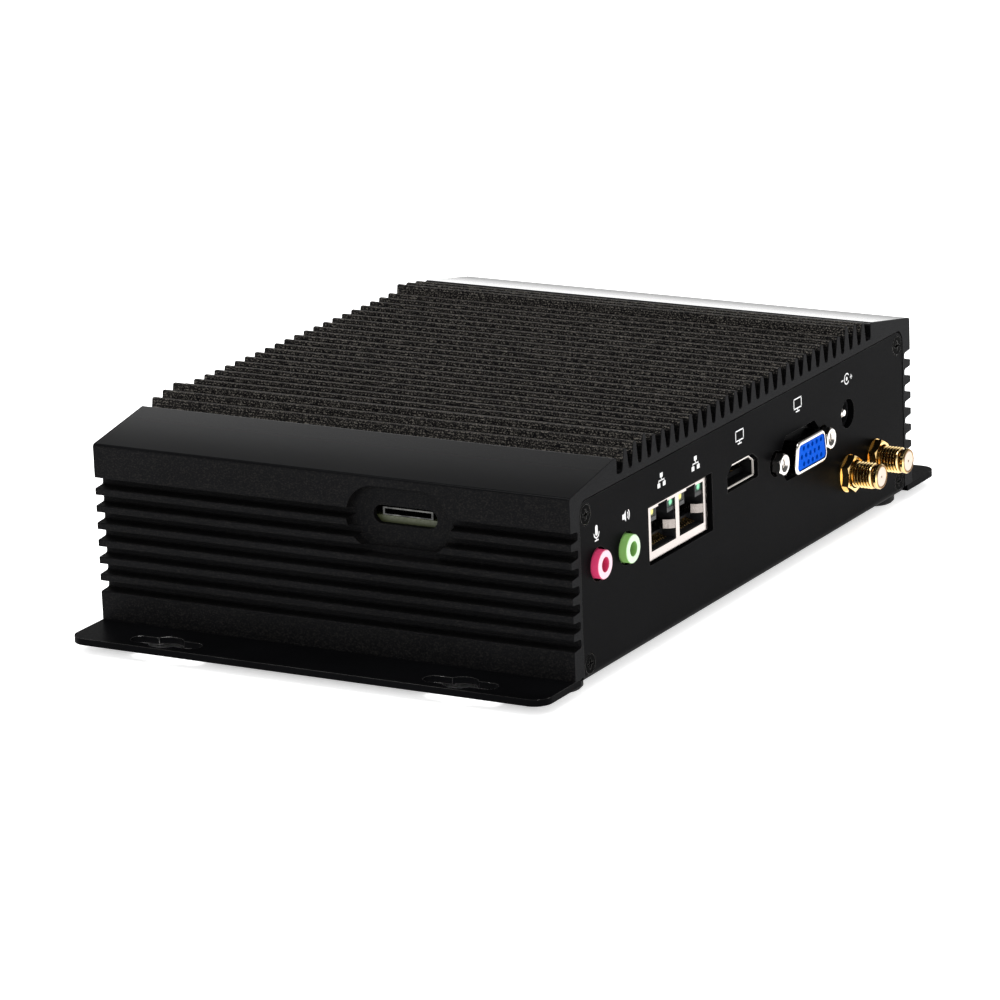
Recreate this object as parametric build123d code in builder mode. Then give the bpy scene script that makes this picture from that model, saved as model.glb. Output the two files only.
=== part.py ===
from build123d import *
from math import atan, degrees
import os

os.makedirs("parts", exist_ok=True)

# A fanless industrial PC: a finned aluminium extrusion over a folded sheet chassis.
# Millimetres. +Z is up, the port end faces -Y and the card slot side faces -X.
# The pieces are drawn round the middle of the body, and the last lines move them all
# along Y, so that the origin lies on the floor under the middle of the whole outline.

# Overall sizes
body_w = 174.5
body_l = 124.1
foot_h = 2.4
sheet_t = 1.6
wall_z = foot_h + sheet_t
half_w = body_w / 2
half_l = body_l / 2

# Heatsink extrusion, top
shoulder_x = 65.24
shoulder_z = 49.76
shoulder_edge_z = 45.82
fin_count = 28
fin_pitch = 4.52
fin_root_z = 45.64
fin_tip_w = 1.2
fin_root_w = 3.02
fin_z = 50.45
outer_fin_z = [50.5, 51.15, 51.75]
fin_tip_r = 0.35
fin_root_r = 0.65

# Heatsink extrusion, sides
groove_count = 7
groove_pitch = 4.1
groove_top_z = 37.87
groove_mouth = 2.5
groove_root = 1.9
groove_x = 84.0
groove_root_r = 0.6
groove_mouth_r = 0.25

# Heatsink extrusion, inside
cavity_x = 82.4
ceiling_z = 43.95
cavity_r = 2.0
channel_x = 80.0
channel_z = [6.15, 40.4]
channel_r = 2.85
channel_hole_r = 1.5
panel_recess = 0.1
seat_x = 83.05
seat_r = 3.3
seat_depth = panel_recess + sheet_t + 0.05
post_hole_depth = 0.8

# Card slot pocket in the left side
pocket_y = -18.25
pocket_z = 36.2
pocket_l = 26.7
pocket_h = 14.9
pocket_depth = 3.6
pocket_r = 2.3
card_slot_l = 16.4
card_slot_h = 4.3

# Chassis sheet
panel_x = 82.75
panel_top_z = 43.65
panel_r = 3.0
bend_r = 0.5
ear_x = 102.0
ear_r = 4.0
relief_w = 1.9
relief_l = 3.4
keyhole_x = 97.0
keyhole_y = 38.5
keyhole_l = 18.6
keyhole_w = 4.6
keyhole_r = 4.1
panel_y = half_l - panel_recess
panel_in_y = panel_y - sheet_t

# Fasteners
gap = 0.3
screw_r = channel_hole_r - gap
screw_l = 8.0
countersunk_r = 2.3
countersunk_h = 1.1
cross_l = 2.5
cross_w = 0.6
cross_h = 0.8

# Feet
foot_x = 80.7
foot_y = 54.0
foot_r = 5.6

# Main board and what fixes it
board_z = 33.95
board_t = 1.6
board_x = cavity_x - 0.4
board_y = panel_in_y - 1.15
board_top = board_z + board_t
post_x = 72.0
post_y = 42.0
post_r = 3.0
board_screw_l = 5.5
pan_head_r = 2.75
pan_head_h = 1.8

# Ports along the port end: middle x and z of each
audio_x = {"mic": -74.6, "speaker": -61.4}
audio_z = 27.7
audio_ring_r = 3.3
audio_ring_gap = 0.6
audio_hole_r = 1.75
audio_stick_out = 1.6
audio_case = 11.8
network_x = [-49.6, -20.25]
network_z = 20.9
network_lip_z = 33.45
network_face_y = -half_l + 1.1
network_l = 21.4
network_cut_x = [-50.85, -19.5]
network_cut_z = [20.5, 34.3]
port_x = [-47.95, -34.2]
port_w = 12.0
port_z = [22.95, 29.8]
lamp_row_z = 32.75
notch_w = 4.5
notch_z = 33.2
hd_x = -4.05
hd_z = [27.55, 32.9]
hd_w = 15.2
hd_corner = (2.5, 1.65)
hd_cut_w = 15.8
hd_cut_z = [27.25, 33.5]
hd_cut_corner = (2.7, 1.9)
vga_x = 25.65
vga_z = 27.8
vga_w = 17.2
vga_h = 7.9
vga_wall = 0.8
vga_lip_r = 0.55
vga_stick_out = 3.2
vga_cut_x = 26.25
vga_cut_w = 19.6
vga_cut_z = [22.15, 33.2]
vga_cut_corner = 2.2
vga_hole_r = 0.6
vga_hole_pitch = 2.29
jackscrew_gap = 25.0
jackscrew_r = 2.75
jackscrew_stick_out = 2.25
dc_x = 51.95
dc_z = 30.35
dc_hole_r = 3.6
dc_pin_r = 1.25
antenna_x = [50.35, 65.45]
antenna_z = 15.95
antenna_r = 3.175
antenna_neck_r = 3.0
antenna_stick_out = 9.5

# Rear end: power button, lamps and the stacked data sockets
button_x = 66.0
button_z = 24.0
button_r = 4.0
button_travel = 0.8
ring_r = 6.6
lamp_x = 51.0
lamp_z = [20.5, 27.5]
lamp_r = 1.5
usb_x = [8.0, 28.0]
usb_w = 13.1
usb_h = 15.6
usb_mouth_w = 12.5
usb_mouth_h = 5.1
usb_l = 17.8


def at_y(y):
    """Plane across the body at y, with local x and y along X and Z."""
    return Plane.XZ.offset(-y)


def block(x_ends, y_ends, z_ends, mode=Mode.ADD):
    """Box given by its low and high ends along X, Y and Z."""
    middle = [sum(ends) / 2 for ends in (x_ends, y_ends, z_ends)]
    size = [ends[1] - ends[0] for ends in (x_ends, y_ends, z_ends)]
    with Locations(tuple(middle)):
        Box(*size, mode=mode)


def end_spot(x, y, z):
    """Place on an end of the body whose local +Z points out of that end."""
    return Location((x, y, z), (90 if y < 0 else -90, 0, 0))


def across(y_ends, mode=Mode.ADD):
    """Extrude the pending sketch, drawn at the higher y, down to the lower y."""
    extrude(amount=y_ends[1] - y_ends[0], mode=mode)


def cut_corner_outline(x, z_ends, width, corner):
    """Rectangle with both upper corners cut off, by corner = (along X, along Z)."""
    low, high = z_ends
    half = width / 2
    cut_x, cut_z = corner
    Polygon((x - half, low), (x + half, low), (x + half, high - cut_z), (x + half - cut_x, high),
            (x - half + cut_x, high), (x - half, high - cut_z))


def cross_recess(depth=cross_h, length=cross_l):
    """Cut a cross for a driver at the present places, below their z = 0."""
    low = (Align.CENTER, Align.CENTER, Align.MAX)
    Box(length, cross_w, depth, align=low, mode=Mode.SUBTRACT)
    Box(cross_w, length, depth, align=low, mode=Mode.SUBTRACT)


# Heatsink shell: the extruded profile

def top_fin(x, tip_z):
    """One tapered top fin, rooted a little below the groove bottoms."""
    sink = 0.5
    height = tip_z - fin_root_z
    slope = (fin_root_w - fin_tip_w) / 2 / height
    with Locations((x, fin_root_z - sink + (height + sink) / 2)):
        Trapezoid(fin_root_w + 2 * sink * slope, height + sink, degrees(atan(1 / slope)))


def side_groove(side, z):
    """One tapered side groove, cut a little past the outer face."""
    past = 0.3
    depth = half_w - groove_x
    slope = (groove_mouth - groove_root) / 2 / depth
    with Locations((side * (groove_x + (depth + past) / 2), z)):
        Trapezoid(groove_mouth + 2 * past * slope, depth + past, degrees(atan(1 / slope)),
                  rotation=90 * side, mode=Mode.SUBTRACT)


fin_x = [(i - (fin_count - 1) / 2) * fin_pitch for i in range(fin_count)]
fin_tips = outer_fin_z + [fin_z] * (fin_count - 2 * len(outer_fin_z)) + outer_fin_z[::-1]
groove_z = [groove_top_z - groove_mouth / 2 - i * groove_pitch for i in range(groove_count)]

with BuildPart() as heatsink_shell:
    with BuildSketch(at_y(half_l)) as profile:
        with BuildLine():
            Polyline((-half_w, wall_z), (half_w, wall_z), (half_w, shoulder_edge_z),
                     (shoulder_x, shoulder_z), (shoulder_x, fin_root_z), (-shoulder_x, fin_root_z),
                     (-shoulder_x, shoulder_z), (-half_w, shoulder_edge_z), close=True)
        make_face()
        fillet([v for v in profile.vertices() if v.Y == shoulder_edge_z or v.Y == shoulder_z], 0.8)
        for x, tip_z in zip(fin_x, fin_tips):
            top_fin(x, tip_z)
        for side in (-1, 1):
            for z in groove_z:
                side_groove(side, z)
        inside_fins = [v for v in profile.vertices() if abs(v.X) < shoulder_x - 0.5]
        fillet([v for v in inside_fins if v.Y > fin_z - 0.1], fin_tip_r)
        fillet([v for v in profile.vertices() if abs(v.Y - fin_root_z) < 0.01], fin_root_r)
        fillet([v for v in profile.vertices() if abs(abs(v.X) - groove_x) < 0.01], groove_root_r)
        mouths = [v for v in profile.vertices() if abs(abs(v.X) - half_w) < 0.01]
        fillet([v for v in mouths if wall_z + 1 < v.Y < groove_top_z + 1], groove_mouth_r)
    across((-half_l, half_l))
    with BuildSketch(at_y(half_l)) as cavity:
        with Locations((0, ceiling_z)):
            Rectangle(2 * cavity_x, ceiling_z, align=(Align.CENTER, Align.MAX))
        fillet(cavity.vertices().group_by(Axis.Y)[-1], cavity_r)
        for side in (-1, 1):
            with Locations(*[(side * channel_x, z) for z in channel_z]):
                Circle(channel_r, mode=Mode.SUBTRACT)
            with Locations((side * channel_x, 0)):
                Rectangle(8, 2 * wall_z)
    across((-half_l, half_l), Mode.SUBTRACT)
    with BuildSketch(at_y(half_l)):
        with Locations(*[(side * channel_x, z) for side in (-1, 1) for z in channel_z]):
            Circle(channel_hole_r)
    across((-half_l, half_l), Mode.SUBTRACT)
    for y in (half_l, -half_l + seat_depth):
        with BuildSketch(at_y(y)) as seat:
            with Locations((0, ceiling_z)):
                Rectangle(2 * seat_x, ceiling_z, align=(Align.CENTER, Align.MAX))
            fillet(seat.vertices().group_by(Axis.Y)[-1], seat_r)
        extrude(amount=seat_depth, mode=Mode.SUBTRACT)
    for end in (-1, 1):
        block((-seat_x, seat_x), sorted((end * half_l, end * (half_l - seat_depth - bend_r - 0.05))),
              (0, wall_z + bend_r + 0.05), Mode.SUBTRACT)
    with Locations(*[(i * post_x, j * post_y, ceiling_z) for i in (-1, 1) for j in (-1, 1)]):
        Cylinder(channel_hole_r, post_hole_depth, align=(Align.CENTER, Align.CENTER, Align.MIN),
                 mode=Mode.SUBTRACT)

with BuildPart() as pocket:
    with BuildSketch(Plane.YZ.offset(-half_w + pocket_depth)):
        with Locations((pocket_y, pocket_z)):
            SlotOverall(pocket_l, pocket_h)
    extrude(amount=-2 * pocket_depth)
    fillet(pocket.faces().sort_by(Axis.X)[-1].edges(), pocket_r)
    with BuildSketch(Plane.YZ.offset(-half_w)):
        with Locations((pocket_y, pocket_z)):
            SlotOverall(card_slot_l, card_slot_h)
    extrude(amount=half_w - cavity_x + 0.5)

with heatsink_shell:
    add(pocket.part, mode=Mode.SUBTRACT)

# Chassis: one folded sheet, bottom with ears and both end panels

with BuildPart() as chassis:
    with BuildSketch(Plane.YZ.offset(-panel_x)) as channel:
        with Locations((0, foot_h)):
            Rectangle(2 * panel_y, panel_top_z - foot_h, align=(Align.CENTER, Align.MIN))
        fillet(channel.vertices().group_by(Axis.Y)[0], bend_r + sheet_t)
        with BuildSketch(mode=Mode.SUBTRACT) as inner:
            with Locations((0, wall_z)):
                Rectangle(2 * panel_in_y, panel_top_z, align=(Align.CENTER, Align.MIN))
            fillet(inner.vertices().group_by(Axis.Y)[0], bend_r)
    extrude(amount=2 * panel_x)
    fillet(chassis.edges().filter_by(Axis.Y).filter_by(lambda e: e.center().Z > panel_top_z - 0.1
                                                       and abs(e.center().X) > panel_x - 0.1), panel_r)
    with BuildSketch(Plane.XY.offset(foot_h)):
        RectangleRounded(2 * ear_x, body_l, ear_r)
        for end in (-1, 1):
            with Locations((0, end * half_l)):
                Rectangle(2 * (panel_x + relief_w), 2 * relief_l, mode=Mode.SUBTRACT)
        for x in (-keyhole_x, keyhole_x):
            with Locations((x, -keyhole_y), (x, keyhole_y)):
                SlotOverall(keyhole_l, keyhole_w, rotation=90, mode=Mode.SUBTRACT)
                Circle(keyhole_r, mode=Mode.SUBTRACT)
    extrude(amount=sheet_t)
    screw_spots = [end_spot(x, y, z) for x in (-channel_x, channel_x)
                   for y in (-panel_y, panel_y) for z in channel_z]
    with Locations(*screw_spots):
        CounterSinkHole(channel_hole_r, countersunk_r + gap, depth=sheet_t + 1)
    port_end = (-panel_y, -panel_in_y)
    with BuildSketch(at_y(port_end[1])):
        with Locations(*[(x, audio_z) for x in audio_x.values()]):
            Circle(audio_ring_r + audio_ring_gap)
        with Locations((sum(network_cut_x) / 2, sum(network_cut_z) / 2)):
            RectangleRounded(network_cut_x[1] - network_cut_x[0], network_cut_z[1] - network_cut_z[0], 0.5)
        with Locations((dc_x, dc_z)):
            Circle(dc_hole_r)
        with Locations(*[(x, antenna_z) for x in antenna_x]):
            Circle(antenna_r + gap)
        cut_corner_outline(hd_x, hd_cut_z, hd_cut_w, hd_cut_corner)
    across(port_end, Mode.SUBTRACT)
    with BuildSketch(at_y(port_end[1])) as vga_cut:
        with Locations((vga_cut_x, sum(vga_cut_z) / 2)):
            Rectangle(vga_cut_w, vga_cut_z[1] - vga_cut_z[0])
        chamfer(vga_cut.vertices(), vga_cut_corner)
        with Locations((vga_x, vga_z)):
            Rectangle(jackscrew_gap, 5.2)
        with Locations((vga_x - jackscrew_gap / 2, vga_z), (vga_x + jackscrew_gap / 2, vga_z)):
            Circle(jackscrew_r + 0.4)
    across(port_end, Mode.SUBTRACT)
    rear_end = (panel_in_y, panel_y)
    with BuildSketch(at_y(rear_end[1])):
        with Locations((button_x, button_z)):
            Circle(ring_r - 1.0)
        with Locations(*[(lamp_x, z) for z in lamp_z]):
            Circle(lamp_r + gap)
        with Locations(*[(x, board_z - usb_h / 2) for x in usb_x]):
            Rectangle(usb_w + 0.8, usb_h + 0.6)
    across(rear_end, Mode.SUBTRACT)

with BuildPart() as panel_screws:
    with Locations(*screw_spots):
        Cone(screw_r, countersunk_r, countersunk_h, align=(Align.CENTER, Align.CENTER, Align.MAX))
        Cylinder(screw_r, screw_l, align=(Align.CENTER, Align.CENTER, Align.MAX))
        cross_recess()

with BuildPart() as rubber_feet:
    with Locations(*[(i * foot_x, j * foot_y, 0) for i in (-1, 1) for j in (-1, 1)]):
        Cylinder(foot_r, foot_h, align=(Align.CENTER, Align.CENTER, Align.MIN))
    chamfer(rubber_feet.edges().filter_by(GeomType.CIRCLE).group_by(Axis.Z)[0], 0.5)

# Main board, its posts and screws, and the path for the heat

post_spots = [(i * post_x, j * post_y) for i in (-1, 1) for j in (-1, 1)]

with BuildPart() as main_board:
    with BuildSketch(Plane.XY.offset(board_z)):
        RectangleRounded(2 * board_x, 2 * board_y, 1.5)
        with Locations(*post_spots):
            Circle(channel_hole_r, mode=Mode.SUBTRACT)
        for x in (-channel_x, channel_x):
            for y in (-board_y, board_y):
                with Locations((x, y)):
                    Rectangle(9, 3, mode=Mode.SUBTRACT)
    extrude(amount=board_t)

with BuildPart() as board_posts:
    with BuildSketch(Plane.XY.offset(board_top)):
        with Locations(*post_spots):
            RegularPolygon(post_r, 6)
    extrude(amount=ceiling_z - board_top)
    with Locations(*[(x, y, ceiling_z) for x, y in post_spots]):
        Cylinder(screw_r, post_hole_depth - 0.1, align=(Align.CENTER, Align.CENTER, Align.MIN))
    with Locations(*[(x, y, board_top) for x, y in post_spots]):
        Cylinder(channel_hole_r, 6.5, align=(Align.CENTER, Align.CENTER, Align.MIN),
                 mode=Mode.SUBTRACT)

with BuildPart() as board_screws:
    with Locations(*[Location((x, y, board_z), (180, 0, 0)) for x, y in post_spots]):
        Cylinder(pan_head_r, pan_head_h, align=(Align.CENTER, Align.CENTER, Align.MIN))
    chamfer(board_screws.faces().sort_by(Axis.Z)[:4].edges(), 0.5)
    with Locations(*[(x, y, board_z) for x, y in post_spots]):
        Cylinder(screw_r, board_screw_l, align=(Align.CENTER, Align.CENTER, Align.MIN))
    with Locations(*[Location((x, y, board_z - pan_head_h), (180, 0, 0)) for x, y in post_spots]):
        cross_recess(1.0, 3.0)

with BuildPart() as processor:
    block((-15.5, 15.5), (-7, 17), (board_top, board_top + 1.0))
    block((-7, 7), (-1, 10), (board_top + 1.0, board_top + 1.5))

with BuildPart() as thermal_pad:
    block((-9, 9), (-3, 12), (board_top + 1.5, board_top + 2.0))

with BuildPart() as heat_block:
    block((-30, 30), (-25, 35), (board_top + 2.0, ceiling_z))
    chamfer(heat_block.faces().sort_by(Axis.Z)[0].edges(), 1.5)

# Cards and small parts on the board, hanging below it

with BuildPart() as memory_socket:
    block((-35.5, 35.5), (-31, -24.5), (board_z - 5.2, board_z))
    block((-33.9, 33.9), (-27.5, -24.5), (board_z - 3.9, board_z - 2.5), Mode.SUBTRACT)
    for side in (-1, 1):
        ends = sorted((side * 34.1, side * 35.5))
        block(ends, (-24.5, 3), (board_z - 4.6, board_z - 1.0))

with BuildPart() as memory_module:
    block((-33.8, 33.8), (-27.5, 2.5), (board_z - 3.7, board_z - 2.7))
    with Locations(*[(x, -12, board_z - 4.2) for x in (-25, -8.5, 8.5, 25)]):
        Box(10.5, 12.5, 1.0)

with BuildPart() as card_sockets:
    block((-66.9, -44.9), (47.5, 55), (board_z - 4.2, board_z))
    block((-66.5, -45.3), (47.5, 50), (board_z - 3.1, board_z - 2.0), Mode.SUBTRACT)
    block((46, 68), (-36, -28.5), (board_z - 4.2, board_z))
    block((46.4, 67.6), (-31, -28.5), (board_z - 3.1, board_z - 2.0), Mode.SUBTRACT)

with BuildPart() as storage_card:
    block((-66.4, -45.4), (-30, 50), (board_z - 2.95, board_z - 2.15))
    with Locations(*[(-55.9, y, board_z - 3.55) for y in (34, 16, -4)]):
        Box(14, 14, 1.2)

with BuildPart() as wireless_card:
    block((46.5, 67.5), (-31, -1), (board_z - 2.95, board_z - 2.15))
    block((49, 65), (-25, -12), (board_z - 4.4, board_z - 2.95))
    with Locations((52, -7, board_z - 3.55), (62, -7, board_z - 3.55)):
        Cylinder(1.0, 1.2)

with BuildPart() as coin_cell_holder:
    block((-28, -4), (24, 46), (board_z - 5.6, board_z))
    with Locations((-16, 35, board_z - 5.6)):
        Cylinder(10.3, 4.0, align=(Align.CENTER, Align.CENTER, Align.MIN), mode=Mode.SUBTRACT)

with BuildPart() as coin_cell:
    with Locations((-16, 35, board_z - 4.8)):
        Cylinder(10.0, 3.2, align=(Align.CENTER, Align.CENTER, Align.MIN))
    chamfer(coin_cell.edges().group_by(Axis.Z)[0], 0.4)

with BuildPart() as power_coils:
    with Locations(*[(x, 25, board_z - 2) for x in (48, 58, 68)]):
        Box(7, 7, 4)
    chamfer(power_coils.edges().filter_by(Axis.Z), 1.0)

with BuildPart() as capacitors:
    with Locations(*[(x, 38, board_z - 3.5) for x in (44, 53, 62)]):
        Cylinder(3.1, 7)
    chamfer(capacitors.edges().group_by(Axis.Z)[0], 0.4)

with BuildPart() as controller_chips:
    with Locations(*[(x, y, board_z - 0.6) for x, y in ((50, 10), (66, 10), (-36, 15))]):
        Box(9, 9, 1.2)

with BuildPart() as card_socket:
    block((-board_x + 0.1, -66.5), (-24.4, -11.4), (board_top, board_top + 1.9))
    block((-board_x, -67.5), (-23.9, -11.9), (board_top + 0.3, board_top + 1.55), Mode.SUBTRACT)

# Audio jacks

with BuildPart() as audio_housings:
    for x in audio_x.values():
        block((x - audio_case / 2, x + audio_case / 2), (-panel_in_y + 1.3, -46.5),
              (board_z - audio_case, board_z))
    with Locations(*[end_spot(x, -panel_in_y + 1.3, audio_z) for x in audio_x.values()]):
        Hole(audio_hole_r + gap, depth=11)


def audio_jack(x):
    """Coloured face plate with the ring that stands out through the panel."""
    with BuildPart() as jack:
        block((x - audio_case / 2, x + audio_case / 2), (-panel_in_y + 0.1, -panel_in_y + 1.3),
              (board_z - audio_case, board_z))
        with BuildSketch(at_y(-panel_in_y + 0.1)):
            with Locations((x, audio_z)):
                Circle(audio_ring_r)
        extrude(amount=half_l + audio_stick_out - panel_in_y + 0.1)
        chamfer(jack.edges().group_by(Axis.Y)[0], 0.2)
        with Locations(end_spot(x, -half_l - audio_stick_out, audio_z)):
            Hole(audio_hole_r, depth=8)
    return jack


mic_jack = audio_jack(audio_x["mic"])
speaker_jack = audio_jack(audio_x["speaker"])

# Network ports: a double block hanging below the board

network_y = (network_face_y, network_face_y + network_l)
lamp_w = 2.9
lamp_h = 1.75
lamp_set_back = 0.45
lamp_z_middle = lamp_row_z - 0.1 - lamp_h / 2
shelf_y = network_y[0] + 3.6
shelf_z = port_z[0] + 2.15


def port_middle(x):
    return x + port_w / 2


def lamp_middle(x, side):
    """Middle of the lamp in the upper left or upper right corner of a port."""
    return port_middle(x) + side * (port_w - lamp_w - 0.1) / 2


with BuildPart() as network_shell:
    block(network_x, network_y, (network_z, board_z))
    block((network_x[0] + 0.3, network_x[1] - 0.3), (network_y[0] + 0.3, network_y[1] + 1),
          (network_z + 0.3, board_z + 1), Mode.SUBTRACT)
    block((network_x[0] - 1, network_x[1] + 1), (network_y[0] - 1, -board_y), (network_lip_z, board_z + 1),
          Mode.SUBTRACT)
    with BuildSketch(at_y(network_y[0] + 1)):
        for x in port_x:
            with Locations((port_middle(x), port_z[0])):
                Rectangle(port_w, lamp_row_z - port_z[0], align=(Align.CENTER, Align.MIN))
                Rectangle(notch_w, notch_z - port_z[0], align=(Align.CENTER, Align.MIN))
    extrude(amount=2, mode=Mode.SUBTRACT)

with BuildPart() as network_insert:
    block((network_x[0] + 0.4, network_x[1] - 0.4), (network_y[0] + 0.4, network_y[1]),
          (network_z + 0.4, board_z))
    block((network_x[0], network_x[1]), (network_y[0], -board_y), (network_lip_z, board_z + 1), Mode.SUBTRACT)
    with BuildSketch(at_y(network_y[0] + 13.5)):
        for x in port_x:
            with Locations((port_middle(x), port_z[0] + 0.1)):
                Rectangle(port_w - 0.2, port_z[1] - port_z[0] - 0.1, align=(Align.CENTER, Align.MIN))
                Rectangle(port_w - 2 * lamp_w - 0.9, notch_z - port_z[0] - 0.3, align=(Align.CENTER, Align.MIN))
    extrude(amount=14, mode=Mode.SUBTRACT)
    for x in port_x:
        block((x, x + port_w), (shelf_y, network_y[0] + 13.5), (port_z[0], shelf_z))
    for x in port_x:
        for side in (-1, 1):
            with Locations((lamp_middle(x, side), network_y[0] + 4, lamp_z_middle)):
                Box(lamp_w + 0.2, 9, lamp_h + 0.2, mode=Mode.SUBTRACT)

with BuildPart() as network_contacts:
    for x in port_x:
        for i in range(8):
            middle = port_middle(x) + (i - 3.5) * 1.02
            with BuildSketch(Plane.YZ.offset(middle - 0.175)):
                with BuildLine():
                    Polyline((shelf_y, port_z[0] + 1.4), (network_y[0] + 1.9, port_z[0] + 0.7),
                             (network_y[0] + 1.4, port_z[0] + 0.8), (network_y[0] + 1.7, port_z[0] + 1.05),
                             (shelf_y, port_z[0] + 1.7), close=True)
                make_face()
            extrude(amount=0.35)


def network_lamps(side):
    """Lamp blocks in the upper corners of both ports, on the left or right."""
    for x in port_x:
        block((lamp_middle(x, side) - lamp_w / 2, lamp_middle(x, side) + lamp_w / 2),
              (network_y[0] + lamp_set_back, network_y[0] + 8.4),
              (lamp_z_middle - lamp_h / 2, lamp_z_middle + lamp_h / 2))


with BuildPart() as network_lamps_left:
    network_lamps(-1)

with BuildPart() as network_lamps_right:
    network_lamps(1)

# Display ports

hd_y = (-half_l + 1.1, -half_l + 13)
hd_wall = 0.3
hd_tongue_y = hd_y[0] + 1.7

with BuildPart() as hd_shell:
    with BuildSketch(at_y(hd_y[1])) as hd_outer:
        cut_corner_outline(hd_x, hd_z, hd_w, hd_corner)
        fillet(hd_outer.vertices(), 0.5)
    across(hd_y)
    with BuildSketch(at_y(hd_y[1] - 1)) as hd_inner:
        cut_corner_outline(hd_x, hd_z, hd_w, hd_corner)
        fillet(hd_inner.vertices(), 0.5)
        offset(amount=-hd_wall, mode=Mode.REPLACE)
    across((hd_y[0], hd_y[1] - 1), Mode.SUBTRACT)
    for side in (-1, 1):
        block(sorted((hd_x + side * 3.5, hd_x + side * 4.5)), (hd_y[0] + 4, hd_y[1]), (hd_z[1] - 0.25, board_z))

with BuildPart() as hd_tongue:
    block((hd_x - 6.6, hd_x + 6.6), (hd_y[1] - 3, hd_y[1] - 1), (hd_z[0] + 0.7, hd_z[1] - 1.6))
    block((hd_x - 5.3, hd_x + 5.3), (hd_tongue_y, hd_y[1] - 3), (hd_z[0] + 1.45, hd_z[0] + 2.75))

vga_flange_y = (-panel_in_y + 0.05, -panel_in_y + 0.85)

with BuildPart() as vga_shell:
    block((vga_x - 15.4, vga_x + 15.4), vga_flange_y, (vga_z - 6.15, board_z))
    fillet(vga_shell.edges().filter_by(Axis.Y), 1.5)
    with BuildSketch(at_y(vga_flange_y[0])) as vga_outer:
        with Locations((vga_x, vga_z)):
            Trapezoid(vga_w, vga_h, 80)
        fillet(vga_outer.vertices(), 1.9)
    extrude(amount=half_l + vga_stick_out + vga_flange_y[0])
    fillet(vga_shell.edges().group_by(Axis.Y)[0], vga_lip_r)
    with BuildSketch(at_y(vga_flange_y[1])) as vga_inner:
        with Locations((vga_x, vga_z)):
            Trapezoid(vga_w - 2 * vga_wall, vga_h - 2 * vga_wall, 80)
        fillet(vga_inner.vertices(), 1.2)
    extrude(amount=half_l + vga_stick_out + vga_flange_y[1], mode=Mode.SUBTRACT)
    with Locations(*[end_spot(vga_x + side * jackscrew_gap / 2, vga_flange_y[0], vga_z) for side in (-1, 1)]):
        Hole(channel_hole_r, depth=2)

with BuildPart() as vga_insert:
    block((vga_x - 14.9, vga_x + 14.9), (vga_flange_y[1], -46), (vga_z - 5.6, board_z))
    with BuildSketch(at_y(vga_flange_y[1])) as vga_plug:
        with Locations((vga_x, vga_z)):
            Trapezoid(vga_w - 2 * vga_wall - 0.4, vga_h - 2 * vga_wall - 0.4, 80)
        fillet(vga_plug.vertices(), 1.05)
    extrude(amount=half_l + vga_stick_out + vga_flange_y[1] - 0.2)
    for row, shift in ((-1, 0.65), (0, 0.65 - vga_hole_pitch / 2), (1, 0.65)):
        with BuildSketch(at_y(-half_l - vga_stick_out + 6)):
            with Locations((vga_x + shift, vga_z + row * 1.9)):
                with GridLocations(vga_hole_pitch, 1, 5, 1):
                    Circle(vga_hole_r)
        extrude(amount=8, mode=Mode.SUBTRACT)
    with Locations(*[end_spot(vga_x + side * jackscrew_gap / 2, vga_flange_y[1], vga_z) for side in (-1, 1)]):
        Hole(channel_hole_r, depth=8)

with BuildPart() as jackscrews:
    spots = [(vga_x - jackscrew_gap / 2, vga_z), (vga_x + jackscrew_gap / 2, vga_z)]
    with BuildSketch(at_y(vga_flange_y[0])):
        with Locations(*spots):
            RegularPolygon(jackscrew_r, 6, rotation=30)
    extrude(amount=half_l + jackscrew_stick_out + vga_flange_y[0])
    with BuildSketch(at_y(-half_l - jackscrew_stick_out)):
        with Locations(*spots):
            Circle(jackscrew_r - 0.4)
    extrude(amount=-8, taper=-45, mode=Mode.INTERSECT)
    with Locations(*[end_spot(x, -half_l - jackscrew_stick_out, z) for x, z in spots]):
        CounterSinkHole(1.25, 1.75, depth=3.0)
    with Locations(*[end_spot(x, vga_flange_y[0], z) for x, z in spots]):
        Cylinder(screw_r, 6, align=(Align.CENTER, Align.CENTER, Align.MAX))

# Power inlet

with BuildPart() as dc_jack:
    block((dc_x - 4.5, dc_x + 4.5), (-panel_in_y + 0.1, -45.6), (dc_z - 4.4, board_z))
    with Locations(end_spot(dc_x, -panel_in_y + 0.1, dc_z)):
        Hole(3.2, depth=10)

with BuildPart() as dc_pin:
    with BuildSketch(at_y(-panel_in_y + 10.1)):
        with Locations((dc_x, dc_z)):
            Circle(dc_pin_r)
    extrude(amount=10.8)
    chamfer(dc_pin.edges().group_by(Axis.Y)[0], 0.5)

with BuildPart() as dc_spring:
    with BuildSketch(Plane.YZ.offset(dc_x - 1.0)):
        with BuildLine():
            Polyline((-panel_in_y + 10.0, dc_z - 2.6), (-panel_in_y + 5.5, dc_z - 1.9),
                     (-panel_in_y + 1.4, dc_z - 2.7), (-panel_in_y + 1.4, dc_z - 2.4),
                     (-panel_in_y + 5.5, dc_z - 1.6), (-panel_in_y + 10.0, dc_z - 2.3), close=True)
        make_face()
    extrude(amount=2.0)

# Antenna connectors

antenna_spots = [(x, antenna_z) for x in antenna_x]
antenna_tip_y = -half_l - antenna_stick_out
washer_r = 4.6
washer_t = 0.7
nut_t = 2.0
thread_y = -panel_y - washer_t - nut_t - gap

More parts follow.
